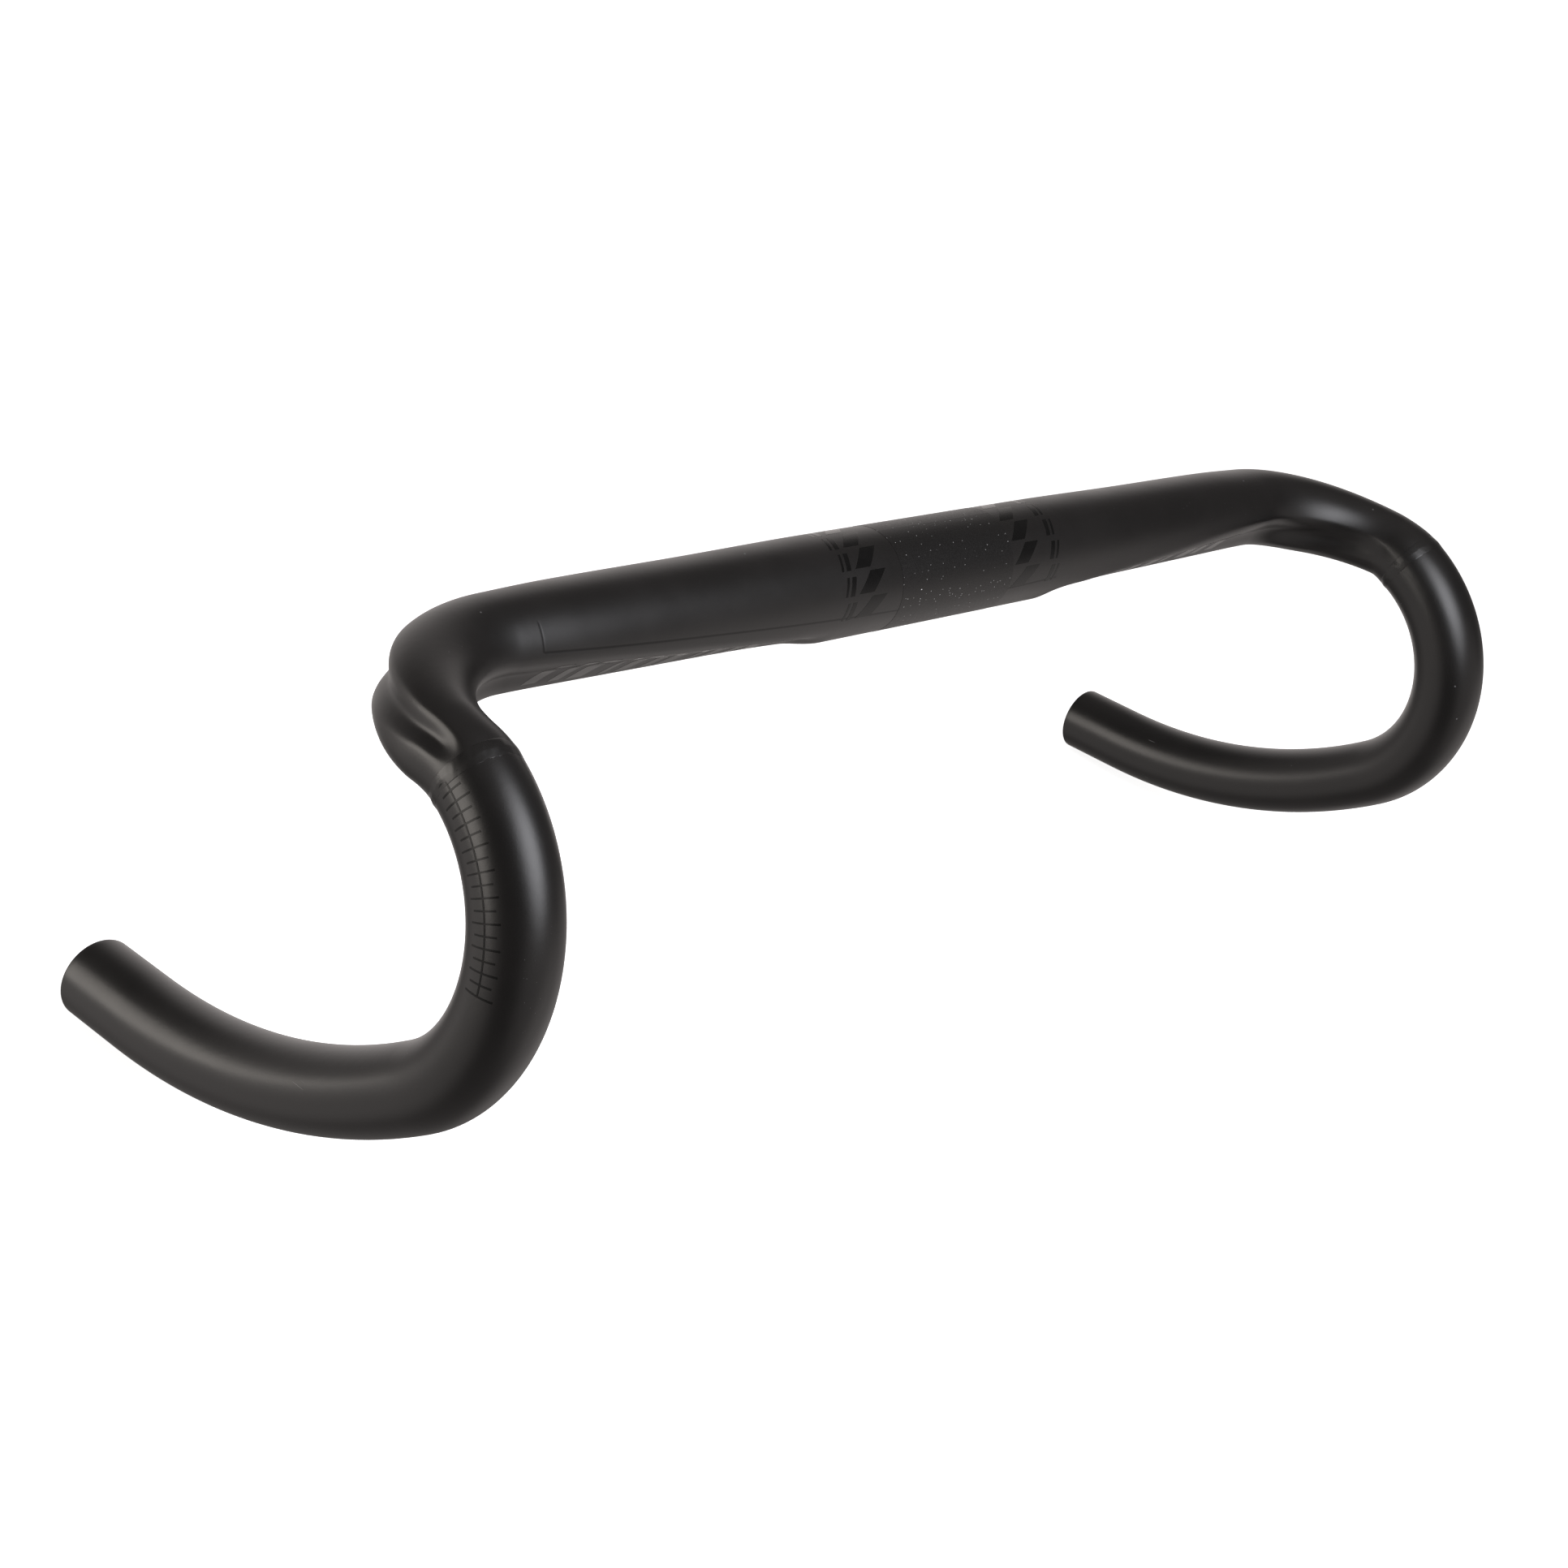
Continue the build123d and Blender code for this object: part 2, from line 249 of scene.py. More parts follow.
def skin_of_rings(name, rings, s_values, material):
    """Closed skin through rings of points, with the last ring joined to the first.

    rings has the shape (rings, points round, 3); s_values gives each ring's signed length."""
    count, size, _ = rings.shape
    points = rings.reshape(-1, 3)
    faces, uvs = [], []
    for row in range(count):
        after = (row + 1) % count
        for column in range(size):
            beside = (column + 1) % size
            corners = [
                (row, column, column), (row, beside, column + 1),
                (after, beside, column + 1), (after, column, column),
            ]
            faces.append([r * size + c for r, c, _ in corners])
            uvs.extend((s_values[r] * MM, step / size) for r, _, step in corners)
    return new_object(name, points, faces, material, uvs)


def evenly(start, stop, spacing):
    """Numbers from start to stop, both included, about `spacing` apart."""
    return np.linspace(start, stop, max(2, int(round(abs(stop - start) / spacing)) + 1))


def finished(piece, slot, *nodes):
    """Puts a piece on the bar's one body, in place of the CAD nodes named; `slot` is not used."""
    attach(piece, "root")
    if nodes:
        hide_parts(*nodes)
    return piece


# ---- materials ----
def nodes_of(name):
    """New material with its node tree and its shader node."""
    material = bpy.data.materials.new(name)
    material.use_nodes = True
    tree = material.node_tree
    return material, tree, tree.nodes["Principled BSDF"]


class Wiring:
    """Short calls for adding shader nodes to one material."""

    def __init__(self, tree):
        self.tree = tree

    def add(self, kind, inputs=None, **settings):
        node = self.tree.nodes.new(kind)
        for key, value in settings.items():
            setattr(node, key, value)
        for key, value in (inputs or {}).items():
            self.feed(node.inputs[key], value)
        return node

    def feed(self, socket, value):
        if isinstance(value, bpy.types.NodeSocket):
            self.tree.links.new(value, socket)
        else:
            socket.default_value = value

    def maths(self, operation, first, second=0.0, third=0.0):
        node = self.tree.nodes.new("ShaderNodeMath")
        node.operation = operation
        for socket, value in zip(node.inputs, (first, second, third)):
            self.feed(socket, value)
        return node.outputs[0]

    def ramp(self, value, low, high, out_low=0.0, out_high=1.0):
        """Smooth step of value from low to high, as out_low to out_high."""
        node = self.add("ShaderNodeMapRange", interpolation_type="SMOOTHSTEP")
        for key, item in (("Value", value), ("From Min", low), ("From Max", high),
                          ("To Min", out_low), ("To Max", out_high)):
            self.feed(node.inputs[key], item)
        return node.outputs["Result"]

    def noise(self, scale, detail, roughness):
        node = self.add("ShaderNodeTexNoise", {"Scale": scale, "Detail": detail, "Roughness": roughness})
        self.tree.links.new(self.object_place(), node.inputs["Vector"])
        return node.outputs["Fac"]

    def object_place(self):
        if not hasattr(self, "_place"):
            self._place = self.add("ShaderNodeTexCoord").outputs["Object"]
        return self._place

    def tube_place(self):
        """Signed length in metres and share of a turn round the tube."""
        if not hasattr(self, "_tube"):
            uv = self.add("ShaderNodeUVMap", uv_map="tube").outputs["UV"]
            split = self.add("ShaderNodeSeparateXYZ", {"Vector": uv})
            self._tube = split.outputs["X"], split.outputs["Y"]
        return self._tube

    def colours(self, share, low, high):
        """Blend of two fixed colours."""
        node = self.add("ShaderNodeMix", data_type="RGBA")
        self.feed(node.inputs["Factor"], share)
        node.inputs["A"].default_value = (*low, 1)
        node.inputs["B"].default_value = (*high, 1)
        return node.outputs["Result"]

    def over(self, base, share, colour):
        """A colour socket with a fixed colour laid over it where share is above 0."""
        node = self.add("ShaderNodeMix", data_type="RGBA")
        self.feed(node.inputs["Factor"], share)
        self.feed(node.inputs["A"], base)
        node.inputs["B"].default_value = (*colour, 1)
        return node.outputs["Result"]

    def cells(self, vector, scale):
        """Random number of each cell and the distance from its middle, in cells."""
        node = self.add("ShaderNodeTexVoronoi", {"Vector": vector, "Scale": scale})
        split = self.add("ShaderNodeSeparateXYZ", {"Vector": node.outputs["Color"]})
        return split, node.outputs["Distance"]

    def bumps(self, *layers):
        """Chain of bump nodes from (height socket, height in metres) layers."""
        normal = None
        for height, distance in layers:
            node = self.add("ShaderNodeBump", {"Height": height, "Distance": distance, "Strength": 1.0})
            if normal is not None:
                self.tree.links.new(normal, node.inputs["Normal"])
            normal = node.outputs["Normal"]
        return normal


def scratches(wire, seed, density):
    """1 along a few short, fine, randomly turned scratches, else 0."""
    turn = seed, seed * 2, seed * 3
    turned = wire.add("ShaderNodeMapping", {"Vector": wire.object_place(), "Rotation": turn})
    stretched = wire.add("ShaderNodeMapping", {"Vector": turned.outputs[0], "Scale": (30, 900, 900)})
    chance, distance = wire.cells(stretched.outputs[0], 1.0)
    keep = wire.maths("LESS_THAN", chance.outputs["X"], density)
    return wire.maths("MULTIPLY", keep, wire.ramp(distance, 0.10, 0.03))


def specks(wire, scale, density, size):
    """1 on sparse dust specks, else 0."""
    chance, distance = wire.cells(wire.object_place(), scale)
    keep = wire.maths("LESS_THAN", chance.outputs["Y"], density)
    return wire.maths("MULTIPLY", keep, wire.ramp(distance, size, size * 0.5))


DUST_COLOUR = 0.32, 0.32, 0.33
DUST_STRENGTH = 0.35
EDGE_COLOUR = 0.001, 0.001, 0.001
EDGE_STRENGTH = 0.5
PLAIN_SPECULAR, EDGE_SPECULAR = 0.5, 0.3
PEEL_HEIGHT, GRAIN_HEIGHT = 0.00002, 0.000006  # metres
SCRATCH_DEPTH, EDGE_DEPTH = 0.00002, 0.00003  # metres


def laminate_material(name, dark, light, roughness, unevenness, film=False):
    """Black moulded laminate under a clear coat: soft blotches, fine grain, specks and scratches.

    With `film`, the thin dark edges of the protective film show on the tops."""
    material, tree, shader = nodes_of(name)
    wire = Wiring(tree)
    blotch = wire.noise(45.0, 4.0, 0.6)
    grain = wire.noise(2600.0, 2.0, 0.6)
    orange_peel = wire.noise(420.0, 2.0, 0.5)
    dust = specks(wire, 260.0, 0.035, 0.10)
    marks = scratches(wire, 0.7, 0.05)
    colour = wire.colours(wire.ramp(blotch, 0.35, 0.7), dark, light)
    dusty = wire.maths("MULTIPLY", wire.maths("MAXIMUM", dust, marks), DUST_STRENGTH)
    colour = wire.over(colour, dusty, DUST_COLOUR)
    height = [(orange_peel, PEEL_HEIGHT), (grain, GRAIN_HEIGHT), (marks, -SCRATCH_DEPTH)]
    if film:
        line = film_edges(wire)
        colour = wire.over(colour, wire.maths("MULTIPLY", line, EDGE_STRENGTH), EDGE_COLOUR)
        height.append((line, -EDGE_DEPTH))
        specular = wire.ramp(line, 0.0, 1.0, PLAIN_SPECULAR, EDGE_SPECULAR)
        wire.feed(shader.inputs["Specular IOR Level"], specular)
    rough = wire.ramp(blotch, 0.3, 0.75, roughness - unevenness, roughness + unevenness)
    rough = wire.maths("ADD", rough, wire.maths("MULTIPLY", grain, 0.05))
    wire.feed(shader.inputs["Base Color"], colour)
    wire.feed(shader.inputs["Roughness"], rough)
    wire.feed(shader.inputs["Normal"], wire.bumps(*height))
    return material


# the protective film on the front of the tops, in metres along the bar and degrees round it
FILM_START, FILM_END = -0.050, 0.1662
FILM_LOW, FILM_CLIMB, FILM_CURVE = 100.0, 29.0, 1.6
FILM_TOP, FILM_TOP_CLEAR = 36.0, 42.0
FILM_EDGE_WIDTH = 0.0006
TOPS_ROUND = 0.0955  # circumference of the tops


def film_edges(wire):
    """1 on the thin edges of the protective film on the front of the tops, else 0."""
    along_bar, turn = wire.tube_place()
    length = wire.maths("ABSOLUTE", along_bar)
    # the long edge climbs from just below the front at the clamp to its end beside the corner
    climb = wire.maths("POWER", wire.maths("DIVIDE", length, FILM_END), FILM_CURVE)
    edge_turn = wire.maths("MULTIPLY_ADD", climb, -FILM_CLIMB / 360, FILM_LOW / 360)
    off_turn = wire.maths("ABSOLUTE", wire.maths("SUBTRACT", turn, edge_turn))
    long_edge = wire.ramp(wire.maths("MULTIPLY", off_turn, TOPS_ROUND), FILM_EDGE_WIDTH, 0.0)
    long_edge = wire.maths("MULTIPLY", long_edge, wire.maths("LESS_THAN", length, FILM_END))
    long_edge = wire.maths("MULTIPLY", long_edge, wire.maths("GREATER_THAN", along_bar, FILM_START))
    # the short edge runs round the tube at the film's end
    off_end = wire.maths("ABSOLUTE", wire.maths("SUBTRACT", along_bar, FILM_END))
    short_edge = wire.ramp(off_end, FILM_EDGE_WIDTH, 0.0)
    above = wire.ramp(turn, FILM_TOP / 360, FILM_TOP_CLEAR / 360)
    below = wire.maths("LESS_THAN", turn, (FILM_LOW - FILM_CLIMB) / 360)
    short_edge = wire.maths("MULTIPLY", short_edge, wire.maths("MULTIPLY", above, below))
    return wire.maths("MAXIMUM", long_edge, short_edge)


def gloss_material(name, colour, roughness, specular):
    """Gloss lacquer or ink with slightly uneven thickness."""
    material, tree, shader = nodes_of(name)
    wire = Wiring(tree)
    flow = wire.noise(500.0, 2.0, 0.5)
    darker = tuple(channel * 0.8 for channel in colour)
    wire.feed(shader.inputs["Base Color"], wire.colours(wire.ramp(flow, 0.3, 0.7), darker, colour))
    wire.feed(shader.inputs["Roughness"], wire.ramp(flow, 0.3, 0.7, roughness * 0.95, roughness * 1.05))
    wire.feed(shader.inputs["Specular IOR Level"], specular)
    wire.feed(shader.inputs["Normal"], wire.bumps((flow, 0.000003)))
    return material


def grip_material():
    """Friction coat: matte black grit with a few raised grains whose near-white colour is a painted glint.
    """
    material, tree, shader = nodes_of("grip_grit")
    wire = Wiring(tree)
    grit = wire.noise(1500.0, 3.0, 0.7)
    fine = specks(wire, 1000.0, 0.18, 0.20)
    coarse = specks(wire, 450.0, 0.04, 0.12)
    grain_and_painted_glint = wire.maths("MAXIMUM", wire.maths("MULTIPLY", fine, 0.45), coarse)
    black = wire.colours(grit, (0.0035, 0.0032, 0.0032), (0.0075, 0.0068, 0.0066))
    # painted glints: the raised grains get a near-white base colour that stands in for the glints of light
    # on them
    wire.feed(shader.inputs["Base Color"], wire.over(black, grain_and_painted_glint, (0.7, 0.7, 0.7)))
    wire.feed(shader.inputs["Roughness"], wire.ramp(grit, 0.2, 0.8, 0.33, 0.43))
    wire.feed(shader.inputs["Specular IOR Level"], 0.42)
    wire.feed(shader.inputs["Normal"], wire.bumps((grit, 0.00002), (grain_and_painted_glint, 0.00006)))
    return material


def adhesive_material():
    """Cured black epoxy, smeared and satin."""
    material, tree, shader = nodes_of("epoxy")
    wire = Wiring(tree)
    smear = wire.noise(260.0, 4.0, 0.6)
    black = wire.colours(smear, (0.004, 0.0038, 0.0037), (0.008, 0.0075, 0.007))
    wire.feed(shader.inputs["Base Color"], black)
    wire.feed(shader.inputs["Roughness"], wire.ramp(smear, 0.3, 0.7, 0.26, 0.36))
    wire.feed(shader.inputs["Normal"], wire.bumps((smear, 0.00003)))
    return material


MATTE = laminate_material(
    "carbon_matte_coat", (0.0050, 0.0045, 0.0043), (0.0068, 0.0061, 0.0058), 0.33, 0.025, film=True
)
SATIN = laminate_material(
    "carbon_satin_coat", (0.0046, 0.0042, 0.0041), (0.0062, 0.0056, 0.0054), 0.29, 0.015
)
RAW = laminate_material("carbon_raw", (0.009, 0.009, 0.009), (0.015, 0.015, 0.015), 0.55, 0.04)
GLOSS = gloss_material("gloss_mark", (0.006, 0.006, 0.006), 0.16, 1.0)
TONAL = gloss_material("tonal_mark", (0.003, 0.003, 0.003), 0.22, 0.32)
INK = gloss_material("scale_ink", (0.002, 0.002, 0.002), 0.28, 0.22)
GRIT = grip_material()
EPOXY = adhesive_material()


# ---- pieces ----
BORE_BLEND_START = RING_AT - SLEEVE_REACH - 12.0
BORE_BLEND_END = RING_AT - SLEEVE_REACH - 3.0
SOCKET_END = RING_AT + SLEEVE_REACH + SOCKET_MARGIN


def centre_section():
    """The moulded centre piece from joint ring to joint ring, with its bore."""
    # rings stand closer together where the grooves start and round the corners
    half = np.concatenate([evenly(0, 48, 4)[:-1], evenly(48, 72, 1)[:-1], evenly(72, 164, 2)[:-1],
                           evenly(164, RING_EDGE, 1)])
    stations = np.concatenate([-half[::-1], half[1:]])
    grid_s, grid_a = stations[:, None], np.arange(0, 360, 2.5)[None]
    outside = centre_radius(grid_s, grid_a)
    to_round = along(np.abs(grid_s), (BORE_BLEND_START, 0), (BORE_BLEND_END, 1))
    thickness = along(np.abs(grid_s), (GROOVE_START, CLAMP_WALL), (GROOVE_FULL, WALL))
    bore = (outside - thickness) * (1 - to_round) + SLEEVE_BORE * to_round
    outer = surface_points(grid_s, grid_a, outside)
    inner = surface_points(grid_s, grid_a, bore)
    rings = np.concatenate([outer, inner[::-1]])
    lengths = np.concatenate([stations, stations[::-1]])
    return skin_of_rings("centre_shell", rings, lengths, MATTE)


END_LIP = 0.4  # radius of both edges of the open end


def drop_profile():
    """(length, radius) pairs of a drop's skin, from the joint out and back up the bore."""
    joint = RING_AT + RING_HALF_WIDTH
    lip_at = BAR_END - END_LIP
    outer = [(s, HOOK_RADIUS) for s in evenly(joint, lip_at, 1.5)]
    turns = np.radians(np.arange(15, 91, 15))
    lip = [(END_LIP * math.sin(turn), END_LIP * math.cos(turn)) for turn in turns]
    outer_lip = [(lip_at + rise, HOOK_RADIUS - END_LIP + run) for rise, run in lip]
    inner_lip = [(lip_at + run, END_BORE + END_LIP - rise) for rise, run in lip]
    inner = [(s, END_BORE) for s in evenly(lip_at, SOCKET_END, 3.0)[1:]]
    socket = [(s, SLEEVE_BORE) for s in evenly(SOCKET_END, joint, 3.0)]
    return outer + outer_lip + inner_lip + inner + socket


def drop(side):
    """Rings and their signed lengths of the hook and drop on one side."""
    lengths, radii = np.array(drop_profile()).T
    around = np.arange(0, 360, 3.0)
    rings = surface_points(side * lengths[:, None], around[None], radii[:, None])
    return rings, side * lengths


def lump(s, around, side):
    """Uneven height of the bond line's bead, from sums of waves, between about -1 and 1."""
    a = np.radians(around)
    phase = 1.3 if side > 0 else 4.1
    wave = np.sin(3 * a + phase) * np.cos(0.9 * s + a) + 0.6 * np.sin(11 * a - phase + 0.7 * s)
    return (wave + 0.5 * np.cos(29 * a + 1.3 * s + phase) * np.sin(7 * a)) / 2.1


BEAD_REACH = 2.2  # each side of the joint
BEAD_WANDER = 0.4  # of its middle, along the bar
BEAD_HEIGHT = 0.17
BEAD_LUMPS = 0.6  # share of the height that varies
BEAD_SINK = 0.02  # so that its thin edges go under the surface
BEAD_EDGE_SINK = 0.25
BEAD_CORE_MARGIN = 0.3  # from the joint sleeve's bore to the bead's own inner face


def bond_bead(side):
    """Thin uneven bead of adhesive that feathers out over both sides of the joint."""
    stations = RING_AT + evenly(-BEAD_REACH, BEAD_REACH, 0.2)
    around = np.arange(0, 360, 2.0)
    grid_s, grid_a = np.meshgrid(stations, around, indexing="ij")
    from_middle = np.abs(grid_s - RING_AT - BEAD_WANDER * lump(0, grid_a, -side))
    fade = np.clip(1 - from_middle / BEAD_REACH, 0, 1)
    height = BEAD_HEIGHT * fade * (1.0 + BEAD_LUMPS * lump(grid_s, grid_a, side)) - BEAD_SINK
    height[[0, -1]] = -BEAD_EDGE_SINK
    base = np.where(grid_s < RING_AT, centre_radius(grid_s, grid_a), HOOK_RADIUS)
    outer = surface_points(side * grid_s, grid_a, base + height)
    core = np.full(grid_s.shape, SLEEVE_BORE + BEAD_CORE_MARGIN)
    inner = surface_points(side * grid_s, grid_a, core)
    rings = np.concatenate([outer, inner[::-1]])
    lengths = side * np.concatenate([stations, stations[::-1]])
    return rings, lengths


PATCH_SPACING = 0.8
PATCH_SINK = 0.12
DEGREE_LENGTH = 0.25  # about one degree round the tube, in millimetres


def grid_count(change_s, change_around):
    """Points along one side of a patch."""
    length = abs(change_s) + abs(change_around) * DEGREE_LENGTH
    return max(2, int(length / PATCH_SPACING) + 1)


def decal(outlines, height):
    """Points and faces of raised patches on the bar, for outlines given as four (s, around) corners.

    Each patch is a grid that follows the surface, with side walls that go a little way into it."""
    points, faces = [], []
    for corners in outlines:
        (s0, a0), (s1, a1), (s2, a2), (s3, a3) = corners
        rows, columns = grid_count(s3 - s0, a3 - a0), grid_count(s1 - s0, a1 - a0)
        v, u = np.meshgrid(np.linspace(0, 1, rows), np.linspace(0, 1, columns), indexing="ij")
        s = (1 - v) * ((1 - u) * s0 + u * s1) + v * ((1 - u) * s3 + u * s2)
        a = (1 - v) * ((1 - u) * a0 + u * a1) + v * ((1 - u) * a3 + u * a2)
        base = outside_radius(s, a)
        top = surface_points(s, a, base + height)
        under = surface_points(s, a, base - PATCH_SINK)
        start = len(points)
        points.extend(top.reshape(-1, 3).tolist())
        points.extend(under.reshape(-1, 3).tolist())
        faces.extend(slab_faces(rows, columns, start))
    return np.array(points), faces


def outward_normals(piece):
    """Turns every face of the piece outward."""
    mesh = bmesh.new()
    mesh.from_mesh(piece.data)
    bmesh.ops.recalc_face_normals(mesh, faces=mesh.faces)
    mesh.to_mesh(piece.data)
    mesh.free()
    return piece


def slab_faces(rows, columns, start):
    """Faces of a slab: a grid of points from `start`, the same grid below it, and its side walls."""
    faces = []
    below = rows * columns
    for row in range(rows - 1):
        for column in range(columns - 1):
            corner = row * columns + column
            grid = corner, corner + 1, corner + 1 + columns, corner + columns
            faces.append([start + i for i in grid])
            faces.append([start + below + i for i in reversed(grid)])
    rim = ([(0, c) for c in range(columns)] + [(r, columns - 1) for r in range(1, rows)]
           + [(rows - 1, c) for c in range(columns - 2, -1, -1)] + [(r, 0) for r in range(rows - 2, 0, -1)])
    for index, (row, column) in enumerate(rim):
        next_row, next_column = rim[(index + 1) % len(rim)]
        here, there = row * columns + column, next_row * columns + next_column
        faces.append([start + i for i in (there, here, here + below, there + below)])
    return faces


def scale_patch(side, s, length, width):
    """Outline of a patch of the scale: `length` along the hook from s, `width` round it."""
    half = math.degrees(width / 2 / HOOK_RADIUS)
    low, high = SCALE_AROUND - half, SCALE_AROUND + half
    start, stop = side * s, side * (s + length)
    return [(start, low), (stop, low), (stop, high), (start, high)]


def scale_outlines(side):
    """Ticks across the outer side of the hook, long and short by turns, and the line they cross."""
    first = RING_AT + RING_HALF_WIDTH + SCALE_MARGIN
    outlines = []
    for index in range(SCALE_TICKS):
        tick_at = first + index * SCALE_PITCH
        width = LONG_TICK if index % 2 == 0 else SHORT_TICK
        outlines.append(scale_patch(side, tick_at, SCALE_LINE, width))
        if index < SCALE_TICKS - 1:
            gap = SCALE_PITCH - SCALE_LINE
            outlines.append(scale_patch(side, tick_at + SCALE_LINE, gap, SCALE_LINE))
    return outlines


def slanted_bar(side, s, width, low, high, slant):
    """Outline of a bar between two angles round the tube, shifted along it by `slant` on its way."""
    return [(side * s, low), (side * (s + width), low),
            (side * (s + width + slant), high), (side * (s + slant), high)]


GROOVE_BARS = 11
GROOVE_BARS_START, GROOVE_BARS_PITCH = 68.0, 8.5
GROOVE_BAR_WIDTHS = 6.0, 4.0, 5.0, 2.5
GROOVE_BAR_SLANT = 9.0
GROOVE_BAR_ABOVE, GROOVE_BAR_BELOW = 20.0, 16.0  # degrees from the middle of the groove


def groove_mark_outlines(side):
    """Generic slanted bars in the front cable groove, in place of a gloss graphic."""
    outlines = []
    for index in range(GROOVE_BARS):
        s = GROOVE_BARS_START + index * GROOVE_BARS_PITCH
        middle = front_groove(np.array([s]))[0][0]
        width = GROOVE_BAR_WIDTHS[index % len(GROOVE_BAR_WIDTHS)]
        low, high = middle - GROOVE_BAR_ABOVE, middle + GROOVE_BAR_BELOW
        outlines.append(slanted_bar(side, s, width, low, high, side * GROOVE_BAR_SLANT))
    return outlines


CLAMP_BAR_TURNS = range(-60, 100, 27)
WIDE_BAR_AT, WIDE_BAR_WIDTH, WIDE_BAR_TURN, WIDE_BAR_SLANT = 33.0, 6.5, 23.0, 6.0
THIN_BARS = (46.0, 1.8), (49.0, 0.9)  # place along the bar and width
THIN_BAR_LOW, THIN_BAR_HIGH, THIN_BAR_SLANT = 4.0, 24.0, 1.5


def clamp_mark_outlines(side):
    """Generic bars round the tube at the edge of the stem clamp zone, in place of a graphic."""
    outlines = []
    for turn in CLAMP_BAR_TURNS:
        high = turn + WIDE_BAR_TURN
        outlines.append(slanted_bar(side, WIDE_BAR_AT, WIDE_BAR_WIDTH, turn, high, side * WIDE_BAR_SLANT))
        for place_at, width in THIN_BARS:
            low, high = turn + THIN_BAR_LOW, turn + THIN_BAR_HIGH
            outlines.append(slanted_bar(side, place_at, width, low, high, side * THIN_BAR_SLANT))
    return outlines


SHARP_ANGLE = 40
SCALE_HEIGHT, GLOSS_HEIGHT, TONAL_HEIGHT = 0.08, 0.04, 0.03


def marks(name, outlines, height, material):
    """Raised printed patches with smooth faces and sharp edges."""
    points, faces = decal(outlines, height)
    piece = outward_normals(new_object(name, points, faces, material))
    piece.data.set_sharp_from_angle(angle=math.radians(SHARP_ANGLE))
    return piece


finished(outward_normals(centre_section()), "carbon_matte", "centre_section")
for side, hand in ((1, "right"), (-1, "left")):
    rings, lengths = drop(side)
    piece = skin_of_rings("drop_shell_" + hand, rings, lengths, SATIN)
    finished(outward_normals(piece), "carbon_satin", "drop_" + hand)
    rings, lengths = bond_bead(side)
    piece = skin_of_rings("bond_bead_" + hand, rings, lengths, EPOXY)
    finished(outward_normals(piece), "adhesive", "bond_line_" + hand)
    piece = marks("scale_" + hand, scale_outlines(side), SCALE_HEIGHT, INK)
    finished(piece, "scale_ink", "lever_scale_" + hand)
    piece = marks("groove_marks_" + hand, groove_mark_outlines(side), GLOSS_HEIGHT, GLOSS)
    finished(piece, "scale_ink")
    piece = marks("clamp_marks_" + hand, clamp_mark_outlines(side), TONAL_HEIGHT, TONAL)
    finished(piece, "scale_ink")


def set_material(node, material):
    """Gives a CAD node's mesh a material of its own."""
    mesh = frame["nodes"][node].data
    mesh.materials.clear()
    mesh.materials.append(material)


set_material("clamp_grip_coat", GRIT)
set_material("joint_sleeve_right", RAW)
set_material("joint_sleeve_left", RAW)


# ---- floor, world, lights and camera ----
FLOOR_GAP = 0.0005  # below the lowest point of the bar
FLOOR_SIZE = 12
FLOOR_GLOW = 0.86


def make_floor(height):
    """Pale ground that the camera sees with a faint contact shadow; it doesn't light the bar."""
    bpy.ops.mesh.primitive_plane_add(size=FLOOR_SIZE, location=(0, 0, height))
    floor = bpy.context.object
    floor.name = "floor"
    material, tree, shader = nodes_of("pale_floor")
    wire = Wiring(tree)
    shade = wire.noise(3.0, 2.0, 0.5)
    wire.feed(shader.inputs["Base Color"], wire.colours(shade, (0.78, 0.78, 0.78), (0.8, 0.8, 0.8)))
    shader.inputs["Roughness"].default_value = 0.9
    shader.inputs["Specular IOR Level"].default_value = 0.1
    wire.feed(shader.inputs["Emission Color"], (1, 1, 1, 1))
    shader.inputs["Emission Strength"].default_value = FLOOR_GLOW
    floor.data.materials.append(material)
    floor.visible_diffuse = floor.visible_glossy = floor.visible_shadow = False


def bearing(azimuth, elevation):
    """Unit vector at an azimuth (0 forward, positive to the rider's left) and an elevation, degrees."""
    turn, rise = math.radians(azimuth), math.radians(elevation)
    return Vector((math.sin(turn) * math.cos(rise), -math.cos(turn) * math.cos(rise), math.sin(rise)))


STUDIO_TINT = 1.0, 0.935, 0.91
STUDIO_LEVEL = 0.13  # of the world outside the pale areas


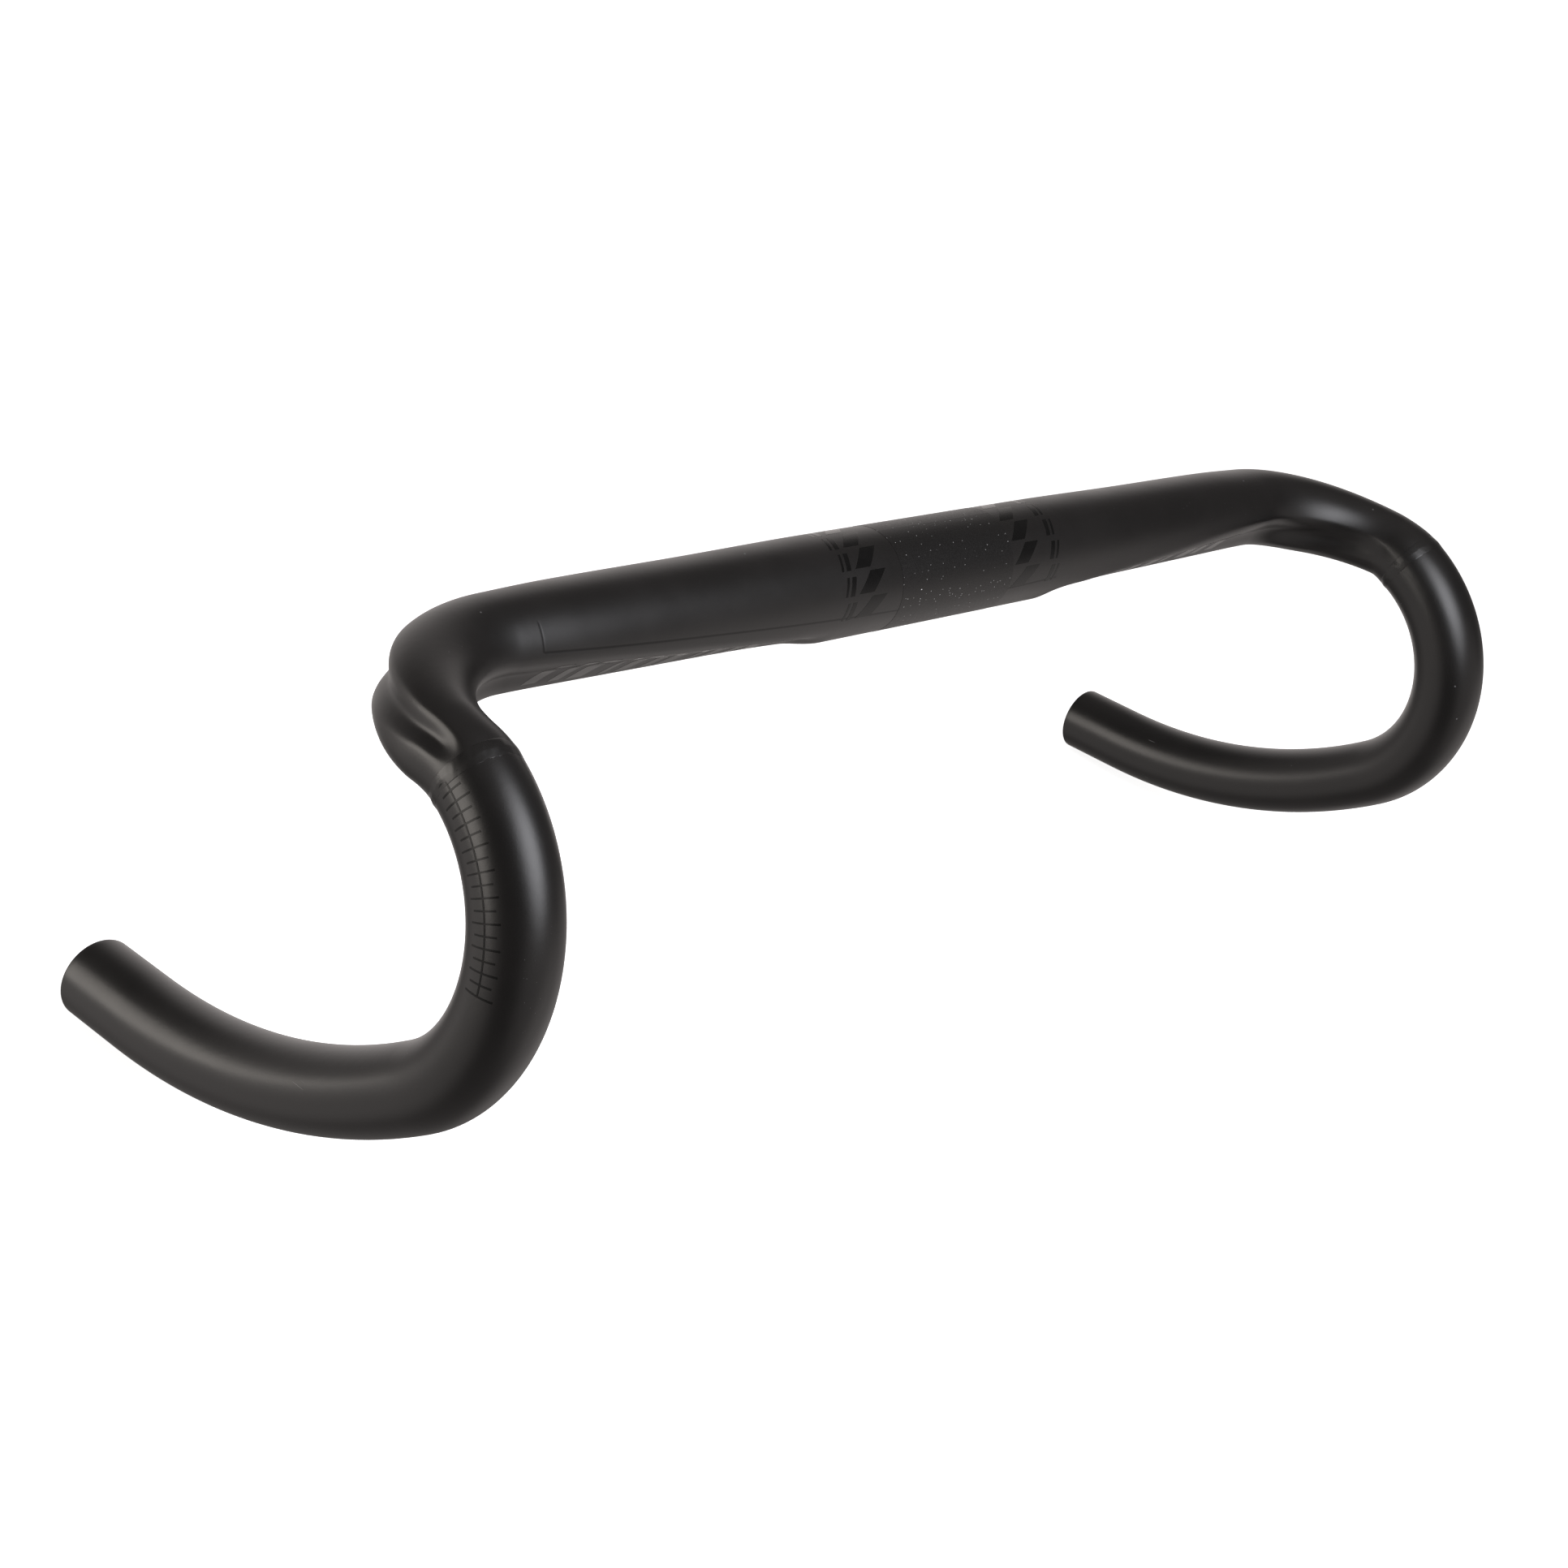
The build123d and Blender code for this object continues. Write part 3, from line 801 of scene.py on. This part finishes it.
def make_world():
    """Dim studio with a few soft pale areas: white to the camera, darkest on the camera's own side."""
    world = bpy.data.worlds.new("studio")
    bpy.context.scene.world = world
    world.use_nodes = True
    tree = world.node_tree
    wire = Wiring(tree)
    direction = wire.add("ShaderNodeTexCoord").outputs["Generated"]
    # azimuth, elevation, full-strength radius, outer radius, strength of each pale area
    areas = {
        "ground in front": (15, -8, 10, 50, 0.42),
        "ground on the left": (64, -34, 8, 44, 0.48),
        "wall behind": (140, -6, 8, 48, 0.8),
        "behind on the right": (-160, -4, 8, 40, 0.35),
        "ground on the right": (-115, -22, 10, 50, 0.55),
        "ground below": (0, -90, 20, 75, 0.12),
        "ceiling": (60, 88, 10, 50, 0.2),
    }
    light = STUDIO_LEVEL
    for azimuth, elevation, inner, outer, strength in areas.values():
        towards = {0: direction, 1: bearing(azimuth, elevation)}
        facing = wire.add("ShaderNodeVectorMath", towards, operation="DOT_PRODUCT")
        reach = math.cos(math.radians(outer)), math.cos(math.radians(inner))
        light = wire.maths("ADD", light, wire.ramp(facing.outputs["Value"], *reach, 0.0, strength))
    background = tree.nodes["Background"]
    wire.feed(background.inputs["Color"], (*STUDIO_TINT, 1))
    wire.feed(background.inputs["Strength"], light)
    white = wire.add("ShaderNodeBackground", {"Color": (1, 1, 1, 1), "Strength": 1.0})
    path = wire.add("ShaderNodeLightPath").outputs["Is Camera Ray"]
    blend = wire.add("ShaderNodeMixShader", {0: path})
    tree.links.new(background.outputs[0], blend.inputs[1])
    tree.links.new(white.outputs[0], blend.inputs[2])
    tree.links.new(blend.outputs[0], tree.nodes["World Output"].inputs["Surface"])


def soft_light(name, place_at, aim, size, brightness, colour):
    """Rectangular softbox; brightness is the radiance of its face."""
    data = bpy.data.lights.new(name, "AREA")
    data.shape = "RECTANGLE"
    data.size, data.size_y = size
    data.energy = brightness * math.pi * size[0] * size[1]
    data.color = colour
    light = bpy.data.objects.new(name, data)
    light.location = place_at
    light.rotation_mode = "QUATERNION"
    light.rotation_quaternion = (Vector(aim) - Vector(place_at)).to_track_quat("-Z", "Y")
    light.visible_camera = False
    bpy.context.scene.collection.objects.link(light)
    return light


def feather(light, inner, outer):
    """Makes a light's face fade from its middle: full to `inner`, gone at `outer` (half sizes)."""
    light.data.use_nodes = True
    tree = light.data.node_tree
    wire = Wiring(tree)
    place_on_face = wire.add("ShaderNodeNewGeometry").outputs["Parametric"]
    from_middle = {0: place_on_face, 1: (0.5, 0.5, 0.0)}
    offset = wire.add("ShaderNodeVectorMath", from_middle, operation="DISTANCE")
    share = wire.ramp(offset.outputs["Value"], outer / 2, inner / 2)
    wire.feed(tree.nodes["Emission"].inputs["Strength"], share)


CAMERA_AZIMUTH, CAMERA_ELEVATION, CAMERA_ROLL = -52.8, 26.9, 16.3
CAMERA_AIM = Vector((0.0009, 0.0272, -0.0922))
CAMERA_DISTANCE = 0.862
CAMERA_LENS = 60.7


def make_camera():
    """Camera from the front, on the rider's right, slightly rolled."""
    azimuth, roll = math.radians(CAMERA_AZIMUTH), math.radians(CAMERA_ROLL)
    back = bearing(CAMERA_AZIMUTH, CAMERA_ELEVATION)
    right = Vector((math.cos(azimuth), math.sin(azimuth), 0))
    up = back.cross(right)
    rolled_right = right * math.cos(roll) + up * math.sin(roll)
    rolled_up = up * math.cos(roll) - right * math.sin(roll)
    data = bpy.data.cameras.new("camera")
    data.sensor_width = 36
    data.lens = CAMERA_LENS
    data.clip_start = 0.01
    camera = bpy.data.objects.new("camera", data)
    turn = Matrix((rolled_right, rolled_up, back)).transposed().to_4x4()
    camera.matrix_world = Matrix.Translation(CAMERA_AIM + back * CAMERA_DISTANCE) @ turn
    bpy.context.scene.collection.objects.link(camera)
    bpy.context.scene.camera = camera


make_floor(cad_box[0].z - FLOOR_GAP)
make_world()
key = soft_light(
    "key", place_at=(-0.03, -0.48, 0.42), aim=(0, -0.03, -0.03), size=(0.85, 1.1),
    brightness=6.9, colour=(0.95, 0.955, 1.0),
)
feather(key, 0.06, 0.96)
soft_light(
    "side", place_at=(-1.13, 0.54, 0.09), aim=(-0.2, 0, -0.06), size=(1.0, 0.67),
    brightness=3.3, colour=(1.0, 0.94, 0.87),
)
make_camera()
bpy.context.scene.view_settings.view_transform = "Standard"
